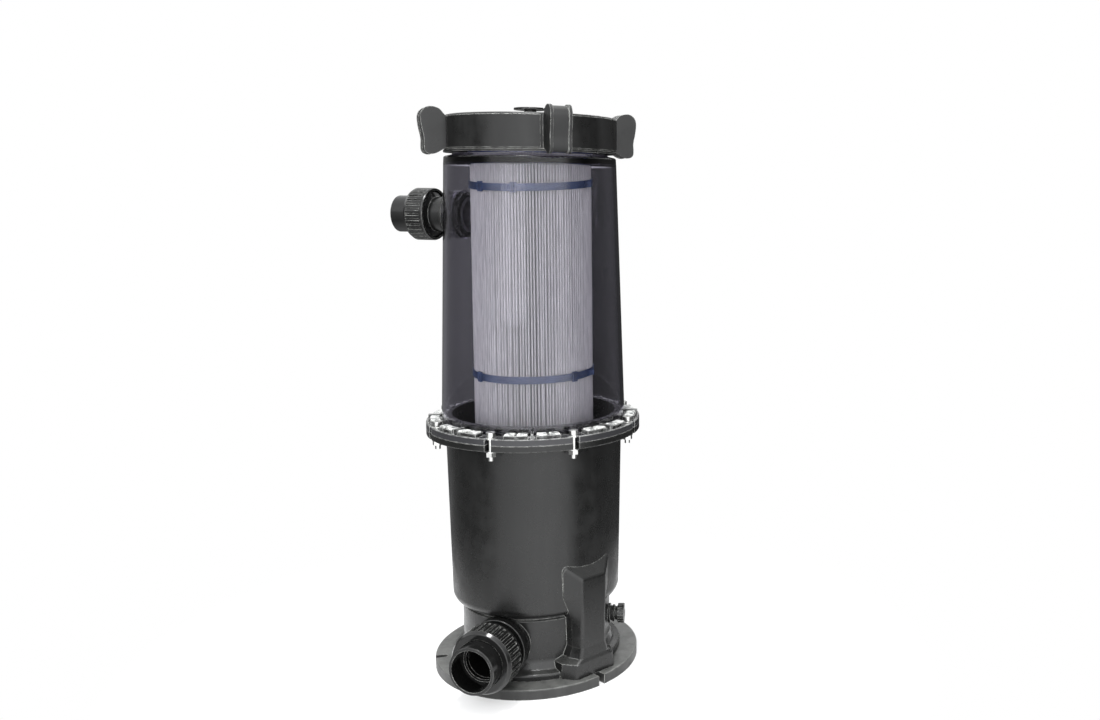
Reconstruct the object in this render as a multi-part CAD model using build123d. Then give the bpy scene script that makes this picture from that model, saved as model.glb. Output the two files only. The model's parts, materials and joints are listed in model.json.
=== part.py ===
"""Cartridge filter housing for a pool: a clear tank bolted to a black sump, a screw-down lid, and two pipe unions.

Millimetres. The origin is the centre of the base's underside and +Z is up. Azimuths are counted from the
front (-Y) towards +X, so a piece drawn facing the front is turned about Z by its azimuth.
"""

from math import pi, radians, tan
import os

from build123d import *

# Base disc
BASE_RADIUS = 155.0
BASE_HEIGHT = 15.0
BASE_SLOT_WIDTH = 10.0
BASE_SLOT_INNER_RADIUS = 137.0
BASE_SLOT_AZIMUTHS = (-83.5, 36.5, 156.5)
BASE_WEB = 6.0
BASE_RIB_WIDTH = 5.0
BASE_RIB_COUNT = 12
BASE_POCKET_INNER = 60.0
BASE_POCKET_OUTER = 129.0
FOOT_SCREW_CIRCLE = 84.0
FOOT_SCREW_COUNT = 4
FOOT_SCREW_RADIUS = 3.0
FOOT_SCREW_TIP = 32.0

# Lower tank and its sump
WALL = 5.5
COLLAR_RADIUS = 128.0
COLLAR_TOP = 24.0
SUMP_RADIUS = 112.0
SUMP_INNER_RADIUS = 105.0
SUMP_FLOOR = BASE_HEIGHT + 6.0
SUMP_TOP = 99.5
SUMP_GROOVE = 3.5
TANK_BOTTOM = 105.5
TANK_BOTTOM_RADIUS = 126.0
TANK_TOP_RADIUS = 131.7
STEP_FLOOR = TANK_BOTTOM + WALL

# Middle flange joint
FLANGE_RADIUS = 160.0
FLANGE_BOTTOM = 364.0
FLANGE_JOINT = 373.5
FLANGE_TOP = 381.0
FLANGE_BOLT_CIRCLE = 149.5
FLANGE_BOLT_COUNT = 8
FLANGE_BOLT_AZIMUTH = 21.0
FLANGE_NOTCH_WIDTH = 9.6
BOLT_RADIUS = 4.0
BOLT_HEAD_RADIUS = 6.5
WASHER_RADIUS = 8.0
WASHER_THICKNESS = 1.6
NUT_ACROSS_FLATS = 13.0
NUT_HEIGHT = 6.5
FLANGE_PAD_TOP = 387.0
FLANGE_PAD_RADIUS = 154.5
FLANGE_PAD_ANGLE = 12.5
FLANGE_PAD_OFFSET = 8.6
FLANGE_RIB_WIDTH = 3.2
SPIGOT_RADIUS = 130.3
SPIGOT_INNER_RADIUS = 122.5
SPIGOT_TOP = 394.0
FLANGE_SEAL_HEIGHT = 385.0
FLANGE_SEAL = 2.4

# Clear upper tank
CLEAR_WALL = 5.0
CLEAR_FOOT_RADIUS = 136.8
CLEAR_FOOT_HEIGHT = 400.0
CLEAR_TOP_RADIUS = 126.5
CLEAR_TOP_HEIGHT = 764.0
NECK_RADIUS = 113.5
NECK_INNER_RADIUS = 108.0
NECK_BOTTOM = 778.0
NECK_TOP = 822.0

# Lock ring
RING_RADIUS = 124.6
RING_PANEL_RADIUS = 127.4
RING_BOTTOM = 781.0
RING_TOP = 834.0
RING_BORE = 118.2
RING_LIP_BORE = 98.0
RING_LIP = 3.8
LUG_COUNT = 4
LUG_AZIMUTH = 15.0
LUG_WIDTH = 31.0
LUG_RIB = 4.5
LUG_WEB_SHRINK = 0.055
PANEL_GAP_ANGLE = 18.0

# Lid and its air relief
LID_RADIUS = 113.2
LID_SPIGOT_RADIUS = 107.5
LID_CLEARANCE = 0.3
LID_BOSS_TOP = 838.0
LID_BOSS_RADIUS = 14.0
RELIEF_BORE = 5.5
RELIEF_STEM = 5.0
RELIEF_KNOB_RADIUS = 24.0
RELIEF_KNOB_TOP = 848.0

# Upper union, for 1 1/2 in pipe (48.3 outside)
UPPER = {
    "azimuth": -116.0,
    "height": 689.0,
    "wall_inner": 114.0,
    "wall_face": 131.0,
    "boss": 37.0,
    "gasket": 34.5,
    "gasket_end": 133.0,
    "collar": 35.0,
    "collar_end": 137.0,
    "tube": 26.6,
    "tube_start": 105.0,
    "ring_nut": 34.5,
    "ring_nut_start": 107.0,
    "thread": 34.0,
    "thread_start": 163.0,
    "face": 181.0,
    "waterway": 20.5,
    "nut": 40.0,
    "nut_start": 161.5,
    "nut_end": 195.0,
    "nut_bore": 36.2,
    "nut_ribs": 32,
    "tail_flange": 33.6,
    "tail": 28.0,
    "tail_end": 223.0,
    "socket": 24.2,
    "socket_start": 192.0,
}

# Lower union, for 2 in pipe (60.3 outside)
LOWER = {
    "azimuth": -26.0,
    "height": 65.0,
    "wall_inner": 96.0,
    "wall_face": 117.0,
    "boss": 39.5,
    "gasket": 39.0,
    "gasket_end": 119.0,
    "collar": 44.0,
    "collar_end": 134.0,
    "tube": 33.0,
    "tube_start": 87.0,
    "ring_nut": 40.5,
    "ring_nut_start": 89.0,
    "thread": 40.8,
    "thread_start": 146.0,
    "face": 168.0,
    "waterway": 26.5,
    "nut": 46.7,
    "nut_start": 147.0,
    "nut_end": 184.0,
    "nut_bore": 43.0,
    "nut_ribs": 36,
    "tail_flange": 40.4,
    "tail": 34.7,
    "tail_end": 209.0,
    "socket": 30.25,
    "socket_start": 175.0,
}

UNION_LIP = 5.5
UNION_GAP = 0.3
UNION_TAIL_FLANGE = 6.0
UNION_RIB_DEPTH = 1.7
UNION_SEAL = 1.8

# Moulded hump beside the port: a hollow buttress with a sloped top and a stepped foot
HUMP_AZIMUTH = 36.0
HUMP_ROOT_REACH = 122.0
HUMP_BACK_REACH = 98.0
HUMP_FACE_TOP = 163.0
HUMP_ROOT_TOP = 184.0
HUMP_CORNER = 6.0
HUMP_TOP_EDGE = 8.0
# (height, distance of the face, half width of the face, half width at the root)
HUMP_SECTIONS = (
    (BASE_HEIGHT, 143.0, 35.0, 48.0),
    (37.0, 142.5, 33.0, 46.0),
    (43.0, 141.5, 25.0, 33.0),
    (58.0, 140.5, 22.0, 27.0),
    (100.0, 140.5, 21.5, 28.0),
    (135.0, 140.5, 21.5, 41.0),
    (240.0, 140.5, 21.5, 46.0),
)

# Drain
DRAIN_AZIMUTH = 80.0
DRAIN_HEIGHT = 67.0
DRAIN_BOSS_END = 115.0
DRAIN_BORE = 8.6
DRAIN_STEM = 8.0
DRAIN_HEAD = 15.0
DRAIN_KNURLS = 18
DRAIN_END = 136.5

# Cartridge
CARTRIDGE_RADIUS = 89.0
CORE_RADIUS = 42.0
CORE_WALL = 3.5
CORE_HOLE = 9.0
CORE_HOLE_ROWS = 9
CORE_HOLES_AROUND = 6
MEDIA_BOTTOM = 160.0
MEDIA_TOP = 788.0
CAP_THICKNESS = 12.0
CAP_LIP = 8.0
CAP_BORE = 36.5
BAND_WIDTH = 11.0
BAND_THICKNESS = 1.4
UPPER_BAND_HEIGHT = 738.0
LOWER_BAND_HEIGHT = 456.0

# Outlet manifold that the cartridge stands on
MANIFOLD_RADIUS = 117.0
MANIFOLD_THICKNESS = 8.0
MANIFOLD_HUB = 46.0
MANIFOLD_SPIGOT = 34.0
MANIFOLD_SPIGOT_BORE = 28.0
MANIFOLD_SPIGOT_TOP = 182.0


def turned(points, rounds=None):
    """A solid of revolution about Z from (radius, height) corners; rounds gives corner number: radius."""
    outline = make_face(Plane.XZ * Polyline(*points, close=True))
    for number, radius in (rounds or {}).items():
        r, z = points[number]
        corner = outline.vertices().sort_by_distance((r, 0, z))[0]
        outline = fillet(corner, radius)
    return revolve(outline, axis=Axis.Z)


def at_azimuth(shape, azimuth):
    """Turn a shape that faces the front to an azimuth."""
    return Rot(0, 0, azimuth) * shape


def along_port(shape, azimuth, height):
    """Lay a shape's +Z along a port's outward axis, so its heights become distances from the centre."""
    return Pos(0, 0, height) * Rot(0, 0, azimuth) * Rot(90, 0, 0) * shape


def round_bar(radius, start, end):
    """A cylinder on Z between two heights."""
    return Pos(0, 0, start) * Cylinder(radius, end - start, align=(Align.CENTER, Align.CENTER, Align.MIN))


def tube(outer, inner, start, end):
    """A straight tube on Z between two heights."""
    return round_bar(outer, start, end) - round_bar(inner, start, end)


def block(width, inner, outer, bottom, top):
    """A box that faces the front, between two distances from the centre and two heights."""
    size = (width, outer - inner, top - bottom)
    return Pos(0, -inner, bottom) * Box(*size, align=(Align.CENTER, Align.MAX, Align.MIN))


def ring_seal(major, minor, height):
    """An O-ring about Z."""
    return Pos(0, 0, height) * Torus(major, minor)


def hexagon(across_flats, start, end):
    """A hexagonal bar on Z between two heights."""
    face = RegularPolygon(across_flats / 2, 6, major_radius=False)
    return Pos(0, 0, start) * extrude(face, end - start)


def sector(inner, outer, bottom, top, azimuth, angle):
    """A piece of a ring, centred on an azimuth, angle degrees wide."""
    half = radians(angle / 2)
    reach = 2 * outer
    wedge = Polyline((0, 0), (-reach * tan(half), -reach), (reach * tan(half), -reach), close=True)
    slice_of_ring = tube(outer, inner, bottom, top)
    slice_of_ring &= Pos(0, 0, bottom) * extrude(make_face(wedge), top - bottom)
    return at_azimuth(slice_of_ring, azimuth)


def bolt_azimuths():
    """The azimuths of the middle flange's bolts."""
    return [FLANGE_BOLT_AZIMUTH + 360 / FLANGE_BOLT_COUNT * n for n in range(FLANGE_BOLT_COUNT)]


def foot_screw_places():
    """Where the foot screws stand."""
    azimuths = [45 + 360 / FOOT_SCREW_COUNT * n for n in range(FOOT_SCREW_COUNT)]
    return [Rot(0, 0, azimuth) * Pos(0, -FOOT_SCREW_CIRCLE, 0) for azimuth in azimuths]


def make_foot_base():
    """The round base: slotted rim, ribbed underside."""
    disc = turned([(0, 0), (BASE_RADIUS, 0), (BASE_RADIUS, BASE_HEIGHT), (0, BASE_HEIGHT)], {2: 1.6})
    pocket_top = BASE_HEIGHT - BASE_WEB
    pocket = tube(BASE_POCKET_OUTER, BASE_POCKET_INNER, 0, pocket_top)
    rib = block(BASE_RIB_WIDTH, BASE_POCKET_INNER - 2, BASE_POCKET_OUTER + 2, 0, pocket_top)
    for n in range(BASE_RIB_COUNT):
        pocket -= at_azimuth(rib, 360 / BASE_RIB_COUNT * n)
    disc -= pocket
    slot_end = BASE_SLOT_INNER_RADIUS + BASE_SLOT_WIDTH / 2
    slot = block(BASE_SLOT_WIDTH, slot_end, BASE_RADIUS + 5, -1, BASE_HEIGHT + 1)
    slot += Pos(0, -slot_end, 0) * round_bar(BASE_SLOT_WIDTH / 2, -1, BASE_HEIGHT + 1)
    for azimuth in BASE_SLOT_AZIMUTHS:
        disc -= at_azimuth(slot, azimuth)
    for place in foot_screw_places():
        disc -= place * round_bar(FOOT_SCREW_RADIUS + 0.3, 0, BASE_HEIGHT)
    return disc


def make_foot_screws():
    """Pan-head screws that hold the sump down on the base, from below."""
    head_bottom = BASE_HEIGHT - BASE_WEB - 4.0
    head_top = BASE_HEIGHT - BASE_WEB
    screw = round_bar(6.0, head_bottom, head_top) + round_bar(FOOT_SCREW_RADIUS, head_top, FOOT_SCREW_TIP)
    recess = Pos(0, 0, head_bottom + 1)
    screw -= recess * Box(7, 1.4, 2) + recess * Box(1.4, 7, 2)
    return [place * screw for place in foot_screw_places()]


def hump_section(height, reach, face_half, root_half):
    """One level cut of the hump, drawn facing the front, with rounded front corners."""
    outline = make_face(Polyline(
        (-root_half, -HUMP_BACK_REACH), (-root_half, -HUMP_ROOT_REACH), (-face_half, -reach),
        (face_half, -reach), (root_half, -HUMP_ROOT_REACH), (root_half, -HUMP_BACK_REACH), close=True,
    ))
    front = outline.vertices().filter_by(lambda corner: corner.Y < 1 - reach)
    return Pos(0, 0, height) * fillet(front, HUMP_CORNER)


def make_hump():
    """The hump: a loft up its sections, cut by a sloped top whose edge is rounded."""
    body = loft([hump_section(*section) for section in HUMP_SECTIONS], ruled=True)
    face_reach = HUMP_SECTIONS[-1][1]
    slope = (HUMP_ROOT_TOP - HUMP_FACE_TOP) / (face_reach - HUMP_ROOT_REACH)
    front, back, above = -face_reach - 30, -80, 400
    low = HUMP_FACE_TOP + slope * (front + face_reach)
    high = HUMP_FACE_TOP + slope * (back + face_reach)
    cutter = make_face(
        Plane.YZ * Polyline((front, low), (back, high), (back, above), (front, above), close=True)
    )
    body -= extrude(cutter, 100, both=True)
    top = body.faces().filter_by(lambda face: face.normal_at().Z > 0.3).sort_by(Axis.Z)[-1]
    edges = [edge for edge in top.edges() if edge.center().Y < 1 - HUMP_BACK_REACH]
    return at_azimuth(fillet(edges, HUMP_TOP_EDGE), HUMP_AZIMUTH)


def make_lower_tank():
    """The black sump, the lower half of the tank, its flange and the spigot inside the clear tank."""
    outside = turned(
        [
            (0, BASE_HEIGHT), (COLLAR_RADIUS, BASE_HEIGHT), (COLLAR_RADIUS, COLLAR_TOP),
            (SUMP_RADIUS + 5, COLLAR_TOP + 3), (SUMP_RADIUS, COLLAR_TOP + 14), (SUMP_RADIUS, SUMP_TOP),
            (SUMP_RADIUS - SUMP_GROOVE, SUMP_TOP + 1.5), (SUMP_RADIUS - SUMP_GROOVE, TANK_BOTTOM),
            (TANK_BOTTOM_RADIUS, TANK_BOTTOM),
            (TANK_TOP_RADIUS, FLANGE_BOTTOM), (FLANGE_RADIUS, FLANGE_BOTTOM), (FLANGE_RADIUS, FLANGE_JOINT),
            (SPIGOT_RADIUS, FLANGE_JOINT), (SPIGOT_RADIUS, SPIGOT_TOP), (0, SPIGOT_TOP),
        ],
        {2: 3, 3: 4, 4: 10, 5: 1, 7: 0.8, 8: 15, 9: 4, 10: 1.5, 13: 1.2},
    )
    inside = turned(
        [
            (0, SUMP_FLOOR), (SUMP_INNER_RADIUS, SUMP_FLOOR), (SUMP_INNER_RADIUS, STEP_FLOOR),
            (TANK_BOTTOM_RADIUS - WALL, STEP_FLOOR), (TANK_TOP_RADIUS - WALL, FLANGE_BOTTOM - 12),
            (SPIGOT_INNER_RADIUS, FLANGE_JOINT - 4), (SPIGOT_INNER_RADIUS, SPIGOT_TOP + 1),
            (0, SPIGOT_TOP + 1),
        ],
        {1: 3, 3: 9.5},
    )
    port = LOWER
    drain_boss = DRAIN_BORE + 6.5
    tank = outside + make_hump()
    boss = round_bar(port["boss"], port["wall_inner"], port["wall_face"])
    tank += along_port(boss, port["azimuth"], port["height"])
    tank += along_port(round_bar(drain_boss, port["wall_inner"], DRAIN_BOSS_END), DRAIN_AZIMUTH, DRAIN_HEIGHT)
    boss_root = round_bar(port["boss"], port["wall_inner"], SUMP_RADIUS)
    keep = along_port(boss_root, port["azimuth"], port["height"])
    keep += along_port(round_bar(drain_boss, port["wall_inner"], SUMP_RADIUS), DRAIN_AZIMUTH, DRAIN_HEIGHT)
    boss = round_bar(8, SUMP_FLOOR - 1, FOOT_SCREW_TIP + 2)
    keep += [place * boss for place in foot_screw_places()]
    tank -= inside - keep
    tank -= at_azimuth(hump_passage(), HUMP_AZIMUTH)
    spot_face = round_bar(port["collar"] + 1.2, port["wall_face"], 200)
    tank -= along_port(spot_face, port["azimuth"], port["height"])
    tank -= along_port(round_bar(port["tube"] + 0.6, 60, 200), port["azimuth"], port["height"])
    tank -= along_port(round_bar(DRAIN_BORE, 80, 200), DRAIN_AZIMUTH, DRAIN_HEIGHT)
    groove_half = FLANGE_SEAL + 0.3
    tank -= tube(
        SPIGOT_RADIUS + 1, SPIGOT_RADIUS - 3.9, FLANGE_SEAL_HEIGHT - groove_half,
        FLANGE_SEAL_HEIGHT + groove_half,
    )
    for place in foot_screw_places():
        tank -= place * round_bar(FOOT_SCREW_RADIUS + 0.05, BASE_HEIGHT - 1, FOOT_SCREW_TIP + 1)
    return tank - flange_notches()


def hump_passage():
    """The hollow inside the hump, open to the sump."""
    reach, face_half = HUMP_SECTIONS[-1][1:3]
    return block(2 * (face_half - WALL), 90, reach - 2 * WALL, SUMP_FLOOR + 6, SUMP_TOP - 6)


def flange_notches():
    """Open slots in the middle flange's rim, one for each bolt."""
    bottom, top = FLANGE_BOTTOM - 5, FLANGE_PAD_TOP + 9
    notch = block(FLANGE_NOTCH_WIDTH, FLANGE_BOLT_CIRCLE, FLANGE_RADIUS + 5, bottom, top)
    notch += Pos(0, -FLANGE_BOLT_CIRCLE, 0) * round_bar(FLANGE_NOTCH_WIDTH / 2, bottom, top)
    return [at_azimuth(notch, azimuth) for azimuth in bolt_azimuths()]


def make_upper_tank():
    """The clear tank: bolting flange with raised pads, tapered wall, threaded neck and port pad."""
    outside = turned(
        [
            (0, FLANGE_JOINT), (FLANGE_RADIUS, FLANGE_JOINT), (FLANGE_RADIUS, FLANGE_TOP + 2),
            (FLANGE_RADIUS - 3, FLANGE_TOP + 2), (FLANGE_RADIUS - 3, FLANGE_TOP),
            (CLEAR_FOOT_RADIUS, FLANGE_TOP),
            (CLEAR_FOOT_RADIUS, CLEAR_FOOT_HEIGHT), (CLEAR_TOP_RADIUS, CLEAR_TOP_HEIGHT),
            (CLEAR_TOP_RADIUS - 0.6, NECK_BOTTOM - 3), (NECK_RADIUS, NECK_BOTTOM), (NECK_RADIUS, NECK_TOP),
            (0, NECK_TOP),
        ],
        {1: 0.8, 2: 1.0, 5: 3, 8: 3, 9: 1.5, 10: 1},
    )
    inner_foot = CLEAR_FOOT_RADIUS - CLEAR_WALL
    inner_top = CLEAR_TOP_RADIUS - CLEAR_WALL
    inside = turned(
        [
            (0, FLANGE_JOINT - 1), (inner_foot, FLANGE_JOINT - 1), (inner_foot, CLEAR_FOOT_HEIGHT),
            (inner_top, CLEAR_TOP_HEIGHT), (NECK_INNER_RADIUS, NECK_BOTTOM - 5),
            (NECK_INNER_RADIUS, NECK_TOP + 1),
            (0, NECK_TOP + 1),
        ],
        {3: 5, 4: 3},
    )
    tank = outside
    half_pitch = 180 / FLANGE_BOLT_COUNT
    root = CLEAR_FOOT_RADIUS - 1
    pad = sector(root, FLANGE_PAD_RADIUS, FLANGE_TOP - 1, FLANGE_PAD_TOP, 0, FLANGE_PAD_ANGLE)
    rib = block(FLANGE_RIB_WIDTH, root, FLANGE_PAD_RADIUS + 3, FLANGE_TOP - 1, FLANGE_PAD_TOP + 3)
    for azimuth in bolt_azimuths():
        middle = azimuth + half_pitch
        tank += at_azimuth(pad, middle - FLANGE_PAD_OFFSET)
        tank += at_azimuth(pad, middle + FLANGE_PAD_OFFSET)
        tank += at_azimuth(rib, middle)
    port = UPPER
    boss = round_bar(port["boss"], port["wall_inner"], port["wall_face"])
    tank = tank - inside + along_port(boss, port["azimuth"], port["height"])
    tank -= along_port(round_bar(port["tube"] + 0.6, 90, 200), port["azimuth"], port["height"])
    return tank - flange_notches()


def make_flange_bolts():
    """Socket-head bolts that stand in the flange's slots."""
    head_bottom = FLANGE_TOP + WASHER_THICKNESS
    bolt = round_bar(BOLT_RADIUS, FLANGE_BOTTOM - 14, head_bottom)
    bolt += round_bar(BOLT_HEAD_RADIUS, head_bottom, head_bottom + 8)
    bolt -= hexagon(6, head_bottom + 4, head_bottom + 9)
    return [at_azimuth(Pos(0, -FLANGE_BOLT_CIRCLE, 0) * bolt, azimuth) for azimuth in bolt_azimuths()]


def make_flange_washers():
    """Flat washers over and under the flange, two for each bolt."""
    washer = Pos(0, -FLANGE_BOLT_CIRCLE, 0) * tube(WASHER_RADIUS, BOLT_RADIUS + 0.3, 0, WASHER_THICKNESS)
    pair = [Pos(0, 0, FLANGE_TOP) * washer, Pos(0, 0, FLANGE_BOTTOM - WASHER_THICKNESS) * washer]
    return [at_azimuth(part, azimuth) for azimuth in bolt_azimuths() for part in pair]


def make_flange_nuts():
    """Hexagon nuts under the flange."""
    top = FLANGE_BOTTOM - WASHER_THICKNESS
    nut = hexagon(NUT_ACROSS_FLATS, top - NUT_HEIGHT, top) - round_bar(BOLT_RADIUS + 0.05, top - 7, top + 1)
    return [at_azimuth(Pos(0, -FLANGE_BOLT_CIRCLE, 0) * nut, azimuth) for azimuth in bolt_azimuths()]


def make_port_fitting(port):
    """The through-wall fitting: tube, outside collar and the threaded head with a seal groove in its face."""
    body = turned(
        [
            (port["waterway"], port["tube_start"]), (port["tube"], port["tube_start"]),
            (port["tube"], port["gasket_end"]), (port["collar"], port["gasket_end"]),
            (port["collar"], port["collar_end"]), (port["tube"], port["collar_end"]),
            (port["tube"], port["thread_start"] - 4), (port["thread"], port["thread_start"]),
            (port["thread"], port["face"]), (port["waterway"], port["face"]),
        ],
        {4: 1.2},
    )
    middle = seal_radius(port)
    half = UNION_SEAL + 0.1
    groove = tube(middle + half, middle - half, port["face"] - 2 * UNION_SEAL + 0.1, port["face"] + 1)
    return along_port(body - groove, port["azimuth"], port["height"])


def seal_radius(port):
    """The union seal's middle radius, half way across the threaded head's end face."""
    return (port["waterway"] + port["thread"]) / 2


def make_port_gasket(port):
    """The flat gasket between the tank's pad and the fitting's collar."""
    ring = tube(port["gasket"], port["tube"] + 0.1, port["wall_face"], port["gasket_end"])
    return along_port(ring, port["azimuth"], port["height"])


def make_port_ring_nut(port):
    """The nut inside the tank that pulls the fitting up, with six spanner notches."""
    nut = tube(port["ring_nut"], port["tube"] + 0.05, port["ring_nut_start"], port["wall_inner"])
    for n in range(6):
        notch = block(8, port["ring_nut"] - 3, port["ring_nut"] + 2, port["ring_nut_start"] - 1,
            port["wall_inner"] - 2)
        nut -= at_azimuth(notch, 60 * n)
    return along_port(nut, port["azimuth"], port["height"])


def make_union_seal(port):
    """The O-ring in the union's face groove."""
    seal = ring_seal(seal_radius(port), UNION_SEAL, port["face"] - UNION_SEAL + 0.1)
    return along_port(seal, port["azimuth"], port["height"])


def make_union_nut(port):
    """The ribbed union nut, its bore open towards the tank and its lip behind the tail's flange."""
    crest = port["nut"]
    root = crest - UNION_RIB_DEPTH
    start, end = port["nut_start"], port["nut_end"]
    body = turned(
        [
            (port["nut_bore"], start), (root + 1.0, start), (crest, start + 2), (crest, end - 5),
            (crest - 3.2, end), (port["tail"] + 0.6, end), (port["tail"] + 0.6, end - UNION_LIP),
            (port["nut_bore"], end - UNION_LIP),
        ],
        {4: 1.5},
    )
    count = port["nut_ribs"]
    groove_width = 2 * pi * crest / count * 0.42
    groove = block(groove_width, root, crest + 2, start + 5, end - 6)
    body -= [at_azimuth(groove, 360 / count * n) for n in range(count)]
    return along_port(body, port["azimuth"], port["height"])


def make_union_tail(port):
    """The tail that the pipe is cemented into: retained flange, barrel, socket and stop."""
    base = port["face"] + UNION_GAP
    body = turned(
        [
            (port["waterway"], base), (port["tail_flange"], base),
            (port["tail_flange"], base + UNION_TAIL_FLANGE), (port["tail"], base + UNION_TAIL_FLANGE),
            (port["tail"], port["tail_end"]), (port["socket"], port["tail_end"]),
            (port["socket"], port["socket_start"]), (port["waterway"], port["socket_start"]),
        ],
        {4: 1.2},
    )
    return along_port(body, port["azimuth"], port["height"])


def make_lid():
    """The domed lid: rim under the ring, sealing spigot in the neck, boss for the air relief."""
    rim_bottom = NECK_TOP + LID_CLEARANCE
    rim_top = RING_TOP - RING_LIP - LID_CLEARANCE
    body = turned(
        [
            (0, LID_BOSS_TOP), (LID_BOSS_RADIUS, LID_BOSS_TOP), (LID_BOSS_RADIUS + 1, LID_BOSS_TOP - 3.5),
            (70, LID_BOSS_TOP - 7), (94, rim_top - 2.5), (97, rim_top), (LID_RADIUS, rim_top),
            (LID_RADIUS, rim_bottom),
            (LID_SPIGOT_RADIUS, rim_bottom), (LID_SPIGOT_RADIUS, 804), (99, 804), (97, 820),
            (70, LID_BOSS_TOP - 13), (LID_BOSS_RADIUS + 1, LID_BOSS_TOP - 10), (LID_BOSS_RADIUS, 808),
            (0, 808),
        ],
        {3: 12, 9: 1, 12: 12},
    )
    body -= tube(LID_SPIGOT_RADIUS + 1, 103.2, 812.4, 817.6)
    for n in range(6):
        rib = block(4, LID_BOSS_RADIUS - 1, 98, 814, LID_BOSS_TOP - 9)
        body += at_azimuth(rib & turned([(0, 814), (98.5, 808), (98.5, 822), (70, 827), (0, 829)]), 60 * n)
    return body - round_bar(RELIEF_BORE, 812, LID_BOSS_TOP + 1) - round_bar(2.5, 806, 813)


def make_lock_ring():
    """The screw-down ring: bore for the neck's thread, top lip over the lid, raised panels and grip lugs."""
    ring = turned(
        [
            (RING_BORE, RING_BOTTOM), (RING_RADIUS + 1.6, RING_BOTTOM), (RING_RADIUS + 1.6, RING_BOTTOM + 3),
            (RING_RADIUS, RING_BOTTOM + 3.6), (RING_RADIUS, RING_TOP), (RING_LIP_BORE, RING_TOP),
            (RING_LIP_BORE, RING_TOP - RING_LIP), (RING_BORE, RING_TOP - RING_LIP),
        ],
        {4: 2.5, 5: 1},
    )
    lug_pitch = 360 / LUG_COUNT
    panel = sector(
        RING_RADIUS - 1, RING_PANEL_RADIUS, RING_BOTTOM + 5, RING_TOP - 3,
        LUG_AZIMUTH + lug_pitch / 2, lug_pitch - PANEL_GAP_ANGLE,
    )
    lug = make_lug()
    for n in range(LUG_COUNT):
        ring += at_azimuth(panel, lug_pitch * n) + at_azimuth(lug, LUG_AZIMUTH + lug_pitch * n)
    return ring - round_bar(RING_BORE, RING_BOTTOM - 10, RING_TOP - RING_LIP)


def lug_slice(width, shrink):
    """The lug's side outline with a width across it, drawn facing the front and shrunk towards its root."""
    root, middle = 121.5, 810.0
    outline = [
        (121.5, 786), (131, 783.5), (140, 778.5), (149, 777), (155, 780), (157, 788), (156.6, 798),
        (159, 811),
        (161, 824), (160, 835), (154, 842), (143, 843.5), (134, 840), (127, 832.5), (121.5, 831),
    ]
    points = [
        (0, -root - (r - root) * (1 - shrink), middle + (z - middle) * (1 - shrink))
        for r, z in outline
    ]
    path = Spline(*points)
    side = make_face(path + Line(path @ 1, path @ 0))
    return extrude(side, width / 2, dir=(1, 0, 0), both=True)


def make_lug():
    """One grip lug facing the front: two side ribs with a sunk web between them."""
    rib = lug_slice(LUG_RIB, 0)
    shift = (LUG_WIDTH - LUG_RIB) / 2
    return Pos(shift, 0, 0) * rib + Pos(-shift, 0, 0) * rib + lug_slice(LUG_WIDTH - LUG_RIB, LUG_WEB_SHRINK)


def make_air_relief_knob():
    """The air relief's flat knob, hub and stem."""
    hub_bottom = LID_BOSS_TOP + 3.2
    return turned(
        [
            (0, 822), (RELIEF_STEM, 822), (RELIEF_STEM, hub_bottom), (9, hub_bottom),
            (9, RELIEF_KNOB_TOP - 3.4),
            (RELIEF_KNOB_RADIUS, RELIEF_KNOB_TOP - 3), (RELIEF_KNOB_RADIUS, RELIEF_KNOB_TOP),
            (0, RELIEF_KNOB_TOP),
        ],
        {6: 1.0},
    )


def make_drain_plug():
    """The drain plug: threaded stem, neck and a knurled head with a hose bore in its end."""
    start = 100.0
    flange = DRAIN_BOSS_END + 3.4
    body = turned(
        [
            (0, start), (DRAIN_STEM, start), (DRAIN_STEM, flange), (13.0, flange), (13.0, flange + 3),
            (10.5, flange + 4), (10.5, DRAIN_END - 11), (DRAIN_HEAD, DRAIN_END - 10), (DRAIN_HEAD, DRAIN_END),
            (0, DRAIN_END),
        ],
        {8: 1.2},
    )
    knurl = block(2.0, DRAIN_HEAD - 1.2, DRAIN_HEAD + 2, DRAIN_END - 9, DRAIN_END - 1)
    body -= [at_azimuth(knurl, 360 / DRAIN_KNURLS * n) for n in range(DRAIN_KNURLS)]
    body -= round_bar(6.0, DRAIN_END - 12, DRAIN_END + 1)
    return along_port(body, DRAIN_AZIMUTH, DRAIN_HEIGHT)


def make_drain_seal():
    """The drain's O-ring, between the boss and the plug's flange."""
    seal = ring_seal(DRAIN_STEM + 2.0, 1.6, DRAIN_BOSS_END + 1.7)
    return along_port(seal, DRAIN_AZIMUTH, DRAIN_HEIGHT)


def make_outlet_manifold():
    """The plate between tank and sump, with the spigot that the cartridge stands on."""
    top = STEP_FLOOR + MANIFOLD_THICKNESS
    shoulder = MEDIA_BOTTOM - CAP_THICKNESS - 0.5
    return turned(
        [
            (MANIFOLD_SPIGOT_BORE, STEP_FLOOR), (MANIFOLD_RADIUS - 9, STEP_FLOOR),
            (MANIFOLD_RADIUS, STEP_FLOOR + MANIFOLD_THICKNESS - 1), (MANIFOLD_RADIUS, top),
            (MANIFOLD_HUB, top), (MANIFOLD_HUB, shoulder), (MANIFOLD_SPIGOT, shoulder),
            (MANIFOLD_SPIGOT, MANIFOLD_SPIGOT_TOP), (MANIFOLD_SPIGOT_BORE, MANIFOLD_SPIGOT_TOP),
        ],
        {7: 2},
    )


def make_cartridge_media():
    """The pleated media, as a plain sleeve around the core."""
    return tube(CARTRIDGE_RADIUS, CORE_RADIUS + 0.3, MEDIA_BOTTOM, MEDIA_TOP)


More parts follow.
